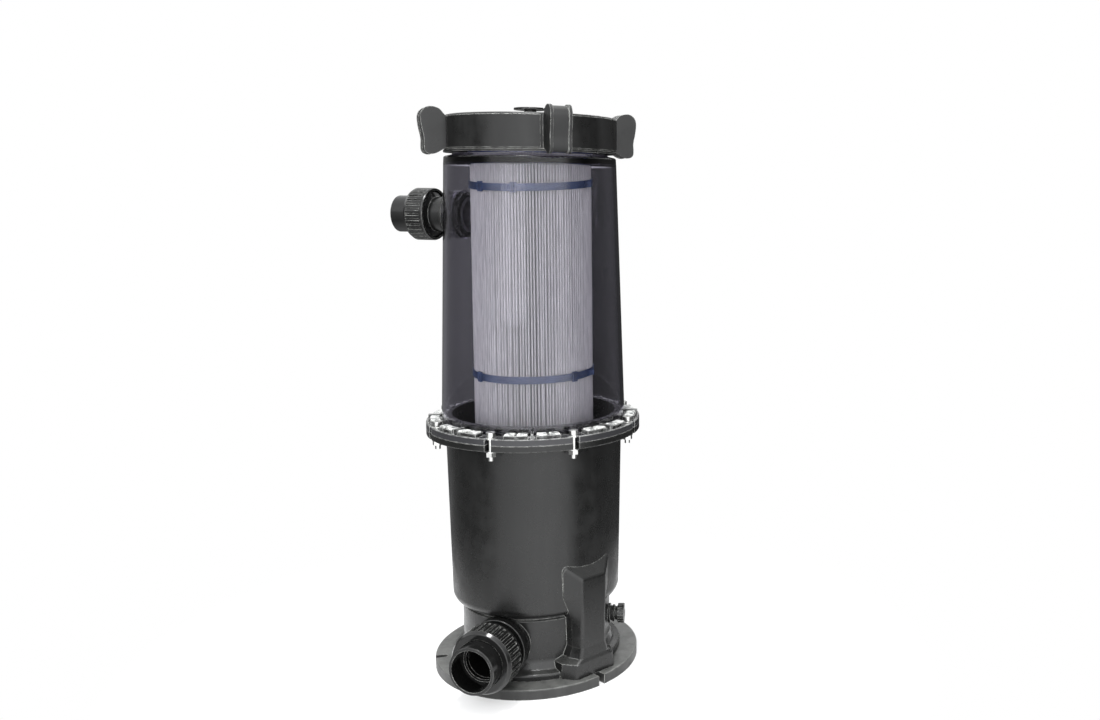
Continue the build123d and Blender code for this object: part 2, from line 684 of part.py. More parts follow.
def make_cartridge_core():
    """The perforated centre tube."""
    core = tube(CORE_RADIUS, CORE_RADIUS - CORE_WALL, MEDIA_BOTTOM, MEDIA_TOP)
    pitch = (MEDIA_TOP - MEDIA_BOTTOM) / CORE_HOLE_ROWS
    hole = round_bar(CORE_HOLE, CORE_RADIUS - 8, CORE_RADIUS + 4)
    holes = []
    for row in range(CORE_HOLE_ROWS):
        height = MEDIA_BOTTOM + pitch * (row + 0.5)
        for n in range(CORE_HOLES_AROUND):
            holes.append(along_port(hole, 360 / CORE_HOLES_AROUND * (n + row % 2 / 2), height))
    return core - holes


def make_cartridge_cap(bottom, top, bore, lip):
    """An end cap that covers the pleats, with a rim lip over the media towards lip."""
    radius = CARTRIDGE_RADIUS + 0.6
    cap = tube(radius, bore, bottom, top) if bore else round_bar(radius, bottom, top)
    low, high = sorted((lip, bottom if lip < bottom else top))
    return cap + tube(radius + 1.6, CARTRIDGE_RADIUS + 0.3, low, high)


def make_band(height, azimuths, tail_azimuth):
    """A plastic strap around the pleats, with a buckle at each azimuth and one free tail."""
    inner = CARTRIDGE_RADIUS + 0.3
    band = tube(inner + BAND_THICKNESS, inner, height - BAND_WIDTH / 2, height + BAND_WIDTH / 2)
    for azimuth in azimuths:
        band += sector(inner, inner + 4.4, height - BAND_WIDTH / 2 - 2,
            height + BAND_WIDTH / 2 + 2, azimuth, 8)
    tail = block(3.0, inner + 0.6, inner + 8, height - 4, height + 4)
    return band + at_azimuth(tail, tail_azimuth)


def write(name, shape):
    """Write one node's solids to its STEP file."""
    pieces = shape if isinstance(shape, list) else [shape]
    solids = [solid for piece in pieces for solid in piece.solids()]
    export_step(solids[0] if len(solids) == 1 else Compound(children=solids), f"parts/{name}.step")


def main():
    """Build and write every piece."""
    os.makedirs("parts", exist_ok=True)
    write("foot_base", make_foot_base())
    write("foot_screws", make_foot_screws())
    write("lower_tank", make_lower_tank())
    write("upper_tank", make_upper_tank())
    write("tank_oring", ring_seal(SPIGOT_RADIUS - FLANGE_SEAL / 2, FLANGE_SEAL, FLANGE_SEAL_HEIGHT))
    write("flange_bolts", make_flange_bolts())
    write("flange_washers", make_flange_washers())
    write("flange_nuts", make_flange_nuts())
    for name, port in (("upper", UPPER), ("lower", LOWER)):
        write(f"{name}_port_fitting", make_port_fitting(port))
        write(f"{name}_port_gasket", make_port_gasket(port))
        write(f"{name}_port_ring_nut", make_port_ring_nut(port))
        write(f"{name}_union_oring", make_union_seal(port))
        write(f"{name}_union_nut", make_union_nut(port))
        write(f"{name}_union_tail", make_union_tail(port))
    write("lid", make_lid())
    write("lid_oring", ring_seal(LID_SPIGOT_RADIUS - 2.1, 2.2, 815))
    write("lock_ring", make_lock_ring())
    write("air_relief_knob", make_air_relief_knob())
    write("air_relief_oring", ring_seal(RELIEF_STEM + 1.8, 1.5, LID_BOSS_TOP + 1.6))
    write("drain_plug", make_drain_plug())
    write("drain_oring", make_drain_seal())
    write("outlet_manifold", make_outlet_manifold())
    write("cartridge_media", make_cartridge_media())
    write("cartridge_core", make_cartridge_core())
    cap_bottom = MEDIA_BOTTOM - CAP_THICKNESS
    write("cartridge_top_cap", make_cartridge_cap(MEDIA_TOP, MEDIA_TOP + CAP_THICKNESS, 0,
        MEDIA_TOP - CAP_LIP))
    write("cartridge_bottom_cap", make_cartridge_cap(cap_bottom, MEDIA_BOTTOM, CAP_BORE,
        MEDIA_BOTTOM + CAP_LIP))
    write("cartridge_band_upper", make_band(UPPER_BAND_HEIGHT, (-35, -15), 48))
    write("cartridge_band_lower", make_band(LOWER_BAND_HEIGHT, (-35,), 52))


if __name__ == "__main__":
    main()
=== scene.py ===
"""The looks of the cartridge filter housing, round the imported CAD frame. Metres, +Z up, -Y the front."""

import json
import math
import random

import bpy
from mathutils import Matrix, Vector


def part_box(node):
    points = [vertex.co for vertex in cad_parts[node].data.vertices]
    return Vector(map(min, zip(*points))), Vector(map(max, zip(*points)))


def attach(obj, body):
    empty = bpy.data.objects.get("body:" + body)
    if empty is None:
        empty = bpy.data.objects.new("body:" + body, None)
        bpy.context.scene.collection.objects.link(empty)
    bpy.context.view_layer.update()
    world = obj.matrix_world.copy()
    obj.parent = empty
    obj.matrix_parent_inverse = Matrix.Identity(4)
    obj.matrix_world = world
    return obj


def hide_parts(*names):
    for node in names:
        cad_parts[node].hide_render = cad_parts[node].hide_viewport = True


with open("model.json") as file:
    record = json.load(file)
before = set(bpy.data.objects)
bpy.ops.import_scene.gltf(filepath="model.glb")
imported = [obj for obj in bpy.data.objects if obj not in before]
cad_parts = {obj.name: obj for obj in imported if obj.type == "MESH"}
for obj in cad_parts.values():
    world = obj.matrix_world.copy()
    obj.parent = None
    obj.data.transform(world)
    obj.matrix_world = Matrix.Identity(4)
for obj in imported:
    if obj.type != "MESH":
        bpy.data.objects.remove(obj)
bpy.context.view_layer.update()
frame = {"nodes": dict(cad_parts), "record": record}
nodes = frame["nodes"]

MM = 0.001
Z_AXIS = Vector((0, 0, 1))

# The camera stands in front of the object, turned a little to the right of it, looking slightly down.
CAMERA_PLACE = Vector((0, -1.61147, 0.7285))
CAMERA_HEADING = math.radians(11.36)
CAMERA_TILT = math.radians(-6.89)
CAMERA_ROLL = math.radians(0.55)
CAMERA_LENS = 34.27
CAMERA_SENSOR = 36.0
CAMERA_SHIFT = (-0.1746, -0.0384)

# Measures that the frame's boxes don't give
NECK_RADIUS = 113.5 * MM
RING_BORE = 118.2 * MM
NECK_SHOULDER = 778 * MM
LID_PITCH = 8 * MM
UPPER_PORT_AZIMUTH = -116
UPPER_PORT_HEIGHT = 689 * MM
UPPER_PORT_BORE = 26 * MM
BOLTS = 8
BOLT_AZIMUTH = 21
BLOCK_SHARES = (0.235, 0.385, 0.615, 0.765)
BLOCK_ANGLE = 5.2
BLOCK_LENGTH = 12 * MM
BLACK_TINT = (1.0, 1.01, 0.985)
PLEATS = 128
PLEAT_DEPTH = 19 * MM
SMOKE_DENSITY = 82.0


# ---------------------------------------------------------------- materials

class Shader:
    """A node material with the few helpers that every finish below uses."""

    def __init__(self, name):
        self.material = bpy.data.materials.new(name)
        self.material.use_nodes = True
        self.tree = self.material.node_tree
        self.surface = self.tree.nodes["Principled BSDF"]
        self.place = self.node("ShaderNodeTexCoord").outputs["Object"]

    def node(self, kind, **inputs):
        made = self.tree.nodes.new(kind)
        for key, value in inputs.items():
            self.feed(made.inputs[key.replace("_", " ")], value)
        return made

    def feed(self, socket, value):
        if isinstance(value, bpy.types.NodeSocket):
            self.tree.links.new(value, socket)
        else:
            socket.default_value = value

    def set(self, **inputs):
        for key, value in inputs.items():
            self.feed(self.surface.inputs[key.replace("_", " ")], value)

    def stretched(self, x, y, z):
        """The object's coordinates, scaled per axis."""
        made = self.node("ShaderNodeMapping", Vector=self.place)
        made.inputs["Scale"].default_value = (x, y, z)
        return made.outputs["Vector"]

    def reach(self):
        """The distance from the tank's axis."""
        parts = self.node("ShaderNodeSeparateXYZ", Vector=self.place).outputs
        squares = [self.math("POWER", parts[axis], 2.0) for axis in "XY"]
        return self.math("SQRT", self.math("ADD", squares[0], squares[1]))

    def noise(self, scale, detail=3.0, roughness=0.55, vector=None):
        place = vector or self.place
        made = self.node("ShaderNodeTexNoise", Vector=place, Scale=scale, Detail=detail, Roughness=roughness)
        return made.outputs["Fac"]

    def ramp(self, factor, *stops):
        """A colour ramp; each stop is (position, value or colour)."""
        made = self.node("ShaderNodeValToRGB", Fac=factor)
        elements = made.color_ramp.elements
        while len(elements) < len(stops):
            elements.new(0.5)
        for element, (position, value) in zip(elements, stops):
            element.position = position
            colour = value if hasattr(value, "__len__") else (value, value, value)
            element.color = (*colour, 1)
        return made.outputs["Color"]

    def mix(self, factor, first, second, blend="MIX"):
        """Two colours mixed by a factor."""
        made = self.node("ShaderNodeMix")
        made.data_type = "RGBA"
        made.blend_type = blend
        self.feed(made.inputs[0], factor)
        self.feed(made.inputs[6], (*first, 1) if isinstance(first, tuple) and len(first) == 3 else first)
        self.feed(made.inputs[7], (*second, 1) if isinstance(second, tuple) and len(second) == 3 else second)
        return made.outputs[2]

    def math(self, operation, first, second=0.0, clamp=False):
        made = self.node("ShaderNodeMath")
        made.operation = operation
        made.use_clamp = clamp
        self.feed(made.inputs[0], first)
        self.feed(made.inputs[1], second)
        return made.outputs[0]

    def spread(self, factor, low, high, start=0.0, end=1.0):
        """A factor mapped from start..end to low..high."""
        made = self.node("ShaderNodeMapRange", Value=factor)
        for key, value in (("From Min", start), ("From Max", end), ("To Min", low), ("To Max", high)):
            made.inputs[key].default_value = value
        return made.outputs["Result"]

    def bump(self, height, strength, distance, normal=None):
        made = self.node("ShaderNodeBump", Height=height, Strength=strength, Distance=distance)
        if normal is not None:
            self.feed(made.inputs["Normal"], normal)
        return made.outputs["Normal"]

    def edges(self, radius, gain):
        """(rounded normal, how near an edge the point is)."""
        rounded = self.node("ShaderNodeBevel")
        rounded.samples = 4
        rounded.inputs["Radius"].default_value = radius
        flat = self.node("ShaderNodeNewGeometry").outputs["Normal"]
        dot = self.node("ShaderNodeVectorMath")
        dot.operation = "DOT_PRODUCT"
        self.feed(dot.inputs[0], rounded.outputs["Normal"])
        self.feed(dot.inputs[1], flat)
        near = self.math("MULTIPLY", self.math("SUBTRACT", 1.0, dot.outputs["Value"]), gain, clamp=True)
        return rounded.outputs["Normal"], near


def black_plastic(name, tone, rough, grain=0.25, edge_wear_and_highlight=0.35, edge=0.9, streaks=0.0, dust_and_top_light=0.0):
    """Moulded black plastic: mottled tone, fine grain, pale edges that are partly rubbed wear and partly a
    painted edge highlight, and dust with a painted top light on what faces up.
    """
    s = Shader(name)
    shade = [tuple(tone * gain * t for t in BLACK_TINT) for gain in (1.0, 2.1, 3.2)]
    colour = s.mix(s.spread(s.noise(9, 4, 0.6), 0.0, 0.55, 0.35, 0.7), shade[0], shade[1])
    flow = s.noise(6, 3, 0.6, s.stretched(5, 5, 0.6))
    colour = s.mix(s.spread(flow, 0.0, streaks, 0.45, 0.75), colour, shade[2])
    surface_normal = s.node("ShaderNodeNewGeometry").outputs["Normal"]
    facing = s.node("ShaderNodeSeparateXYZ", Vector=surface_normal).outputs["Z"]
    # Paler on what faces up: partly dust, partly a painted top light.
    patchy = s.spread(s.noise(55, 5, 0.7), 0.4, 1.0, 0.35, 0.6)
    settled_dust_and_top_light = s.math("MULTIPLY", s.spread(facing, 0.0, dust_and_top_light, 0.55, 0.95), patchy)
    colour = s.mix(settled_dust_and_top_light, colour, (0.27, 0.275, 0.26))
    # Pale edges: partly rubbed wear, partly a painted edge highlight.
    rounded, near = s.edges(edge * MM, 6)
    scuffs_and_highlight_breakup = s.spread(s.noise(120, 4, 0.7), 0.15, 1.0, 0.38, 0.58)
    colour = s.mix(s.math("MULTIPLY", s.math("MULTIPLY", near, scuffs_and_highlight_breakup), edge_wear_and_highlight), colour, (0.52, 0.525, 0.50))
    normal = s.bump(s.noise(1500, 2, 0.5), grain, 0.00012, rounded)
    normal = s.bump(s.noise(60, 3, 0.5), 0.14, 0.0006, normal)
    s.set(
        Base_Color=colour,
        Roughness=s.spread(s.noise(35, 4, 0.6), rough - 0.1, rough + 0.14, 0.3, 0.7),
        Normal=normal,
    )
    return s.material


def clear_plastic(name, pad_z, wall_z, wall_radius):
    """Smoky violet clear plastic; the raised pads and beads on its dark flange are scuffed pale, their pale
    edges partly scuffs and partly a painted edge highlight.
    """
    s = Shader(name)
    height = s.node("ShaderNodeSeparateXYZ", Vector=s.place).outputs["Z"]
    below_wall = s.math("LESS_THAN", height, wall_z)
    on_flange = s.math("MULTIPLY", below_wall, s.math("GREATER_THAN", s.reach(), wall_radius))
    on_pad = s.math("MULTIPLY", on_flange, s.spread(height, 0.0, 1.0, pad_z, pad_z + 0.8 * MM))
    haze = s.noise(14, 4, 0.6, s.stretched(1, 1, 0.35))
    wall = s.mix(s.spread(haze, 0, 1, 0.3, 0.7), (0.93, 0.93, 0.95), (0.99, 0.99, 1.0))
    cast = s.mix(s.spread(s.noise(70, 4, 0.7), 0, 1, 0.45, 0.62), (0.03, 0.03, 0.03), (0.24, 0.245, 0.24))
    near = s.edges(1.0 * MM, 5)[1]
    # Pale edges on the flange: partly scuffs, partly a painted edge highlight.
    scuffs_and_edge_highlight = s.math("MULTIPLY", on_flange, near)
    colour = s.mix(on_pad, s.mix(on_flange, wall, (0.035, 0.035, 0.038)), cast)
    s.set(
        Base_Color=s.mix(scuffs_and_edge_highlight, colour, (0.9, 0.9, 0.88)),
        Roughness=s.math("ADD", s.spread(haze, 0.02, 0.06), s.math("MULTIPLY", on_flange, 0.22)),
        Transmission_Weight=s.spread(on_flange, 1.0, 0.12),
        Normal=s.bump(s.noise(18, 3, 0.5), 0.05, 0.001),
        IOR=1.47,
    )
    smoke = s.node("ShaderNodeVolumeAbsorption", Color=(0.33, 0.29, 0.43, 1), Density=SMOKE_DENSITY)
    s.feed(s.tree.nodes["Material Output"].inputs["Volume"], smoke.outputs["Volume"])
    return s.material


def cast_edge(name):
    """Clear plastic scuffed to a broken white, as the flange's raised blocks are; the pale patches and white
    edges are partly scuffs and partly painted highlights.
    """
    s = Shader(name)
    scuffs_and_highlight_patches = s.spread(s.noise(95, 4, 0.7), 0, 1, 0.42, 0.56)
    near = s.edges(0.9 * MM, 5)[1]
    # Pale patches and white edges: partly scuffs, partly painted highlights.
    colour = s.mix(scuffs_and_highlight_patches, (0.16, 0.165, 0.16), (0.70, 0.71, 0.69))
    s.set(
        Base_Color=s.mix(near, colour, (0.93, 0.93, 0.91)),
        Roughness=s.spread(scuffs_and_highlight_patches, 0.22, 0.42),
        Normal=s.bump(scuffs_and_highlight_patches, 0.3, 0.0004),
    )
    return s.material


def rubber(name):
    """Soft black seal rubber with a dusty bloom."""
    s = Shader(name)
    bloom = s.spread(s.noise(90, 4, 0.6), 0, 1, 0.4, 0.7)
    s.set(
        Base_Color=s.mix(bloom, (0.012, 0.012, 0.013), (0.035, 0.035, 0.034)),
        Roughness=s.spread(bloom, 0.55, 0.8),
        Normal=s.bump(s.noise(900, 2), 0.2, 0.0001),
    )
    return s.material


def stainless(name):
    """Bright turned stainless with fine scratches."""
    s = Shader(name)
    scratch = s.noise(40, 4, 0.7, s.stretched(14, 14, 120))
    rounded, near = s.edges(0.5 * MM, 4)
    s.set(
        Base_Color=s.mix(s.spread(scratch, 0, 1, 0.35, 0.65), (0.74, 0.74, 0.72), (0.88, 0.88, 0.86)),
        Metallic=1.0,
        Roughness=s.math("ADD", s.spread(scratch, 0.16, 0.34), s.math("MULTIPLY", near, 0.08)),
        Normal=s.bump(scratch, 0.12, 0.0001, rounded),
    )
    return s.material


def filter_media(name):
    """Off-white pleated polyester: fibres along the pleats, painted shade in the valleys."""
    s = Shader(name)
    fibre = s.noise(260, 4, 0.7, s.stretched(1, 1, 0.12))
    valley = s.spread(s.reach(), 1.0, 0.0, 0.078, 0.0876)
    stain = s.spread(s.noise(7, 4, 0.65, s.stretched(1, 1, 0.4)), 0.0, 0.5, 0.4, 0.8)
    colour = s.mix(s.spread(fibre, 0, 1, 0.3, 0.7), (0.54, 0.54, 0.525), (0.90, 0.895, 0.865))
    # Painted shade deep in the pleat valleys.
    colour = s.mix(s.math("MULTIPLY", valley, 0.9), colour, (0.10, 0.095, 0.10))
    colour = s.mix(stain, colour, (0.62, 0.61, 0.60))
    s.set(
        Base_Color=colour,
        Roughness=s.spread(fibre, 0.75, 0.95),
        Normal=s.bump(fibre, 0.35, 0.0003),
        Sheen_Weight=0.25,
    )
    return s.material


def coloured_plastic(name, colour, dark, rough):
    """Moulded coloured plastic or urethane: mottled, with pale edges that are partly wear and partly a
    painted edge highlight.
    """
    s = Shader(name)
    rounded, near = s.edges(0.5 * MM, 4)
    body = s.mix(s.spread(s.noise(45, 4, 0.6), 0, 1, 0.3, 0.7), dark, colour)
    pale = tuple(min(1.0, c * 1.8 + 0.05) for c in colour)
    s.set(
        # Pale edges: partly wear, partly a painted edge highlight.
        Base_Color=s.mix(s.math("MULTIPLY", near, 0.5), body, pale),
        Roughness=s.spread(s.noise(80, 3), rough - 0.08, rough + 0.1, 0.3, 0.7),
        Normal=s.bump(s.noise(800, 2), 0.15, 0.0001, rounded),
    )
    return s.material


def floor_material():
    """A pale floor that fades away round the object."""
    s = Shader("floor")
    s.set(Base_Color=s.ramp(s.noise(3, 2), (0.3, 0.90), (0.7, 0.92)), Roughness=0.9, Specular_IOR_Level=0.2)
    glow = s.node("ShaderNodeEmission", Strength=1.0)
    lit = s.node("ShaderNodeMixShader", Fac=0.35)
    s.feed(lit.inputs[1], s.surface.outputs["BSDF"])
    s.feed(lit.inputs[2], glow.outputs["Emission"])
    blend = s.node("ShaderNodeMixShader", Fac=s.spread(s.reach(), 0.0, 1.0, 0.2, 0.62))
    s.feed(blend.inputs[1], lit.outputs["Shader"])
    s.feed(blend.inputs[2], s.node("ShaderNodeBsdfTransparent").outputs["BSDF"])
    s.feed(s.tree.nodes["Material Output"].inputs["Surface"], blend.outputs["Shader"])
    return s.material


# ---------------------------------------------------------------- meshes

def mesh_piece(name, points, faces, material, body, smooth=True, crease=35):
    """A new piece that rides on a body and takes the finish it is given."""
    mesh = bpy.data.meshes.new(name)
    mesh.from_pydata([tuple(p) for p in points], [], faces)
    mesh.validate()
    mesh.materials.append(material)
    piece = bpy.data.objects.new(name, mesh)
    bpy.context.scene.collection.objects.link(piece)
    if smooth:
        mesh.shade_smooth()
        mesh.set_sharp_from_angle(angle=math.radians(crease))
    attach(piece, body)
    return piece


def loft_rings(rings, closed_ends=True, looped=False):
    """Points and faces of a skin over equal rings of points; looped joins the last ring to the first."""
    count = len(rings[0])
    points = [p for ring in rings for p in ring]
    faces = []
    spans = len(rings) if looped else len(rings) - 1
    for i in range(spans):
        here, there = i * count, (i + 1) % len(rings) * count
        for j in range(count):
            k = (j + 1) % count
            faces.append((here + j, here + k, there + k, there + j))
    if closed_ends and not looped:
        faces.append(tuple(reversed(range(count))))
        faces.append(tuple(range((len(rings) - 1) * count, len(rings) * count)))
    return points, faces


def thread(name, place, root, height, pitch, start, turns, material, body, inward=False):
    """A helical ridge on a cylinder, tapered out at both ends; inward makes it a bore's thread."""
    steps = 72
    total = int(steps * turns)
    sign = -1 if inward else 1
    rings = []
    for i in range(total + 1):
        angle = 2 * math.pi * i / steps
        fade = min(1.0, i / 14, (total - i) / 14)
        crest = root + sign * (height * fade + 0.05 * MM)
        foot = root - sign * 0.6 * MM
        level = start + pitch * i / steps
        section = [(foot, -0.34), (crest, -0.12), (crest, 0.12), (foot, 0.34)]
        if inward:
            section.reverse()
        spin = Matrix.Rotation(angle, 4, "Z")
        rings.append([place @ (spin @ Vector((r, 0, level + share * pitch))) for r, share in section])
    points, faces = loft_rings(rings)
    return mesh_piece(name, points, faces, material, body)


# ---------------------------------------------------------------- finishes on the CAD nodes

MATERIALS = {
    "base_plastic": black_plastic(
        "base_plastic", 0.018, 0.4, grain=0.35, edge_wear_and_highlight=1.0, edge=1.8, streaks=0.5, dust_and_top_light=0.36,
    ),
    "tank_plastic": black_plastic(
        "tank_plastic", 0.005, 0.27, grain=0.3, edge_wear_and_highlight=0.8, edge=1.6, streaks=0.4, dust_and_top_light=0.12,
    ),
    "ring_plastic": black_plastic(
        "ring_plastic", 0.004, 0.34, grain=0.35, edge_wear_and_highlight=1.0, edge=1.3, streaks=0.8, dust_and_top_light=0.2,
    ),
    "lid_plastic": black_plastic("lid_plastic", 0.012, 0.42, grain=0.35, edge_wear_and_highlight=0.6, dust_and_top_light=0.2),
    "union_plastic": black_plastic("union_plastic", 0.003, 0.15, grain=0.1, edge_wear_and_highlight=0.9, edge=1.0),
    "fitting_plastic": black_plastic("fitting_plastic", 0.004, 0.2, grain=0.12, edge_wear_and_highlight=0.8, edge=1.0),
    "inner_plastic": black_plastic("inner_plastic", 0.008, 0.5, grain=0.3, edge_wear_and_highlight=0.2),
    "seal_rubber": rubber("seal_rubber"),
    "stainless": stainless("stainless"),
    "filter_media": filter_media("filter_media"),
    "core_plastic": coloured_plastic("core_plastic", (0.82, 0.82, 0.80), (0.70, 0.70, 0.68), 0.45),
    "cap_urethane": coloured_plastic("cap_urethane", (0.11, 0.14, 0.30), (0.07, 0.09, 0.20), 0.5),
    "strap_plastic": coloured_plastic("strap_plastic", (0.06, 0.10, 0.21), (0.03, 0.055, 0.13), 0.4),
}
MATERIALS["flange_blocks"] = cast_edge("flange_blocks")
flange_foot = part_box("upper_tank")[0].z
MATERIALS["clear_plastic"] = clear_plastic(
    "clear_plastic", flange_foot + 8 * MM, flange_foot + 18 * MM, 137.2 * MM,
)

for part in frame["record"]["subparts"]:
    mesh = nodes[part["node"]].data
    mesh.materials.clear()
    mesh.materials.append(MATERIALS[part["material_slot"]])


def paint_bore_light():
    """Painted light inside the upper port fitting: a lighter grey as a second finish on the faces of its
    bore.
    """
    fitting = nodes["upper_port_fitting"]
    # A lighter grey painted on the bore faces, standing for light seen inside the port.
    scale = coloured_plastic("painted_bore_light", (0.30, 0.29, 0.32), (0.10, 0.10, 0.11), 0.5)
    fitting.data.materials.append(scale)
    angle = math.radians(UPPER_PORT_AZIMUTH)
    axis = Vector((math.sin(angle), -math.cos(angle), 0))
    for face in fitting.data.polygons:
        place = fitting.matrix_world @ face.center - Z_AXIS * UPPER_PORT_HEIGHT
        if (place - axis * place.dot(axis)).length < UPPER_PORT_BORE:
            face.material_index = 1


paint_bore_light()


# ---------------------------------------------------------------- the cartridge

def make_media():
    """The accordion of pleats, each a little uneven, closed by the bore behind it."""
    low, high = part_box("cartridge_media")
    crest = high.x - 0.2 * MM
    valley = crest - PLEAT_DEPTH
    dice = random.Random(7)
    levels = 26
    offsets = [dice.uniform(-0.16, 0.16) for _ in range(PLEATS)]
    lean = [dice.uniform(-0.13, 0.13) for _ in range(PLEATS)]
    flank, shoulder = crest - 2.0 * MM, crest - 0.3 * MM
    outer = [(0.0, valley), (0.22, flank), (0.36, shoulder), (0.5, crest), (0.64, shoulder), (0.78, flank)]
    rings = []
    for level in range(levels + 1):
        share = level / levels
        height = low.z + (high.z - low.z) * share
        ring = []
        for i in range(PLEATS):
            sway = offsets[i] + lean[i] * math.sin(math.pi * 2 * share + i * 1.7)
            sway *= math.sin(math.pi * share) ** 0.3 if 0 < share < 1 else 0
            for step, radius in outer:
                part = sway if step else 0.0
                angle = 2 * math.pi * (i + step + part) / PLEATS
                ring.append(Vector((radius * math.cos(angle), radius * math.sin(angle), height)))
        rings.append(ring)
    bore = valley - 3 * MM
    count = len(rings[0])
    inner = [[Vector((bore * math.cos(a), bore * math.sin(a), rings[level][0].z))
              for a in (2 * math.pi * j / count for j in range(count))] for level in (levels, 0)]
    points, faces = loft_rings(rings + inner, looped=True)
    finish = MATERIALS["filter_media"]
    piece = mesh_piece("pleated_media", points, faces, finish, "cartridge", crease=50)
    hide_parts("cartridge_media")


def strap_sag(angle, tilt):
    """How far a loose strap stands above its middle height at an angle: it droops towards the front."""
    return tilt * math.cos(angle - math.radians(70))


def make_strap(node, name, buckles, tail, tilt):
    """A ribbed strap round the pleats with its buckles and the cut end standing off."""
    low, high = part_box(node)
    middle = (low.z + high.z) / 2
    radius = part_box("cartridge_media")[1].x + 0.35 * MM
    half, thick = 5.3 * MM, 1.5 * MM
    section = [(0, -half), (thick * 0.7, -half), (thick, -half * 0.8), (thick * 0.8, 0), (thick, half * 0.8),
               (thick * 0.7, half), (0, half)]
    steps = 2 * PLEATS
    rings = []
    for i in range(steps):
        angle = 2 * math.pi * i / steps
        ripple = 0.1 * MM * (1 if i % 2 else -1)
        level = middle + strap_sag(angle, tilt)
        way = Vector((math.cos(angle), math.sin(angle), 0))
        rings.append([way * (radius + d + ripple) + Z_AXIS * (level + h) for d, h in section])
    points, faces = loft_rings(rings, looped=True)

    def add(extra):
        base = len(points)
        points.extend(extra[0])
        faces.extend(tuple(base + index for index in face) for face in extra[1])

    for azimuth in buckles:
        add(buckle(radius, azimuth, middle + strap_sag(math.radians(azimuth - 90), tilt), half))
    add(strap_end(radius + thick, tail, middle + strap_sag(math.radians(tail - 90), tilt), half))
    piece = mesh_piece(name, points, faces, MATERIALS["strap_plastic"], "cartridge")
    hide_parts(node)


def buckle(radius, azimuth, level, half):
    """A small two-bar buckle that the strap runs through, as closed rounded blocks."""
    points, faces = [], []
    for centre, width in ((-3.6, 2.0), (0.0, 2.0), (3.6, 2.0)):
        block = bar(radius, azimuth, centre * MM, width * MM, level, half + 1.7 * MM, 3.6 * MM)
        base = len(points)
        points += block[0]
        faces += [tuple(base + index for index in face) for face in block[1]]
    for side in (-1, 1):
        block = bar(radius, azimuth, 0, 9.4 * MM, level + side * (half + 1.1 * MM), 0.9 * MM, 3.2 * MM)
        base = len(points)
        points += block[0]
        faces += [tuple(base + index for index in face) for face in block[1]]
    return points, faces


def bar(radius, azimuth, centre, width, level, half_height, depth):
    """A closed block on a cylinder, its outer corners cut back."""
    angle = math.radians(azimuth - 90) + centre / radius
    out = Vector((math.cos(angle), math.sin(angle), 0))
    side = Vector((-out.y, out.x, 0))
    cut = min(width, depth) * 0.3
    plan = [(-width / 2, 0.3 * MM), (width / 2, 0.3 * MM), (width / 2, depth - cut), (width / 2 - cut, depth),
            (-width / 2 + cut, depth), (-width / 2, depth - cut)]
    rings = []
    for share in (-1, 1):
        height = level + share * half_height
        rings.append([out * (radius + d) + side * w + Z_AXIS * height for w, d in plan])
    return loft_rings(rings)


def strap_end(radius, azimuth, level, half):
    """The strap's free end, curling away from the pleats."""
    tip = half * 0.8
    section = ((0, -tip), (1.0 * MM, -tip), (1.0 * MM, tip), (0, tip))
    rings = []
    for i in range(7):
        share = i / 6
        angle = math.radians(azimuth - 90) + share * 0.085
        out = Vector((math.cos(angle), math.sin(angle), 0))
        lift = 0.1 * MM + 5.5 * MM * share ** 2
        rings.append([out * (radius + lift + d) + Z_AXIS * (level + h) for d, h in section])
    return loft_rings(rings)


# ---------------------------------------------------------------- the flange's moulded blocks

def flange_block(middle, low, top):
    """One block centred on an angle: a piece of a ring with its upper edges cut back."""
    half = math.radians(BLOCK_ANGLE / 2)
    inner, outer = 140.5 * MM, 153.0 * MM
    corners = ((-half, inner), (half, inner), (half, outer), (0, outer + 0.3 * MM), (-half, outer))
    rings = []
    for level, cut in ((low, 0.0), (top - 0.8 * MM, 0.0), (top, 0.9 * MM)):
        ring = []
        for angle, radius in corners:
            grown = radius + cut if radius == inner else radius - cut
            turn = middle + angle * (1 - cut / BLOCK_LENGTH)
            ring.append(Vector((grown * math.cos(turn), grown * math.sin(turn), level)))
        rings.append(ring)
    return loft_rings(rings)


def make_flange_blocks():
    """Short raised blocks on the clear tank's flange, four between each pair of bolts."""
    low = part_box("upper_tank")[0].z + 13.3 * MM
    top = low + 2.2 * MM
    points, faces = [], []
    for bolt in range(BOLTS):
        first = math.radians(BOLT_AZIMUTH + 360 / BOLTS * bolt - 90)
        for share in BLOCK_SHARES:
            base = len(points)
            made, skin = flange_block(first + math.radians(360 / BOLTS) * share, low, top)
            points += made
            faces += [tuple(base + index for index in face) for face in skin]
    finish = MATERIALS["flange_blocks"]
    mesh_piece("flange_blocks", points, faces, finish, "housing", crease=20)


# ---------------------------------------------------------------- threads

def make_threads():
    """The screw threads on the neck, and in the lock ring."""
    upright = Matrix.Identity(4)
    thread("neck_thread", upright, NECK_RADIUS, 2.2 * MM, LID_PITCH, NECK_SHOULDER + 8 * MM, 3.8,
           MATERIALS["clear_plastic"], "housing")
    thread("lock_ring_thread", upright, RING_BORE, 1.7 * MM, LID_PITCH, NECK_SHOULDER + 12 * MM, 3.6,
           MATERIALS["ring_plastic"], "lock_ring", inward=True)


make_media()
make_strap("cartridge_band_upper", "upper_strap", (-52, -16), 56, 7.0 * MM)
make_strap("cartridge_band_lower", "lower_strap", (-58, 40), 60, 2.0 * MM)
make_flange_blocks()
make_threads()


# ---------------------------------------------------------------- the room, the lights and the camera

def make_floor():
    """A wide round floor."""
    bpy.ops.mesh.primitive_circle_add(vertices=96, radius=0.8, fill_type="NGON")
    floor = bpy.context.object
    floor.name = "floor"
    floor.data.materials.append(floor_material())


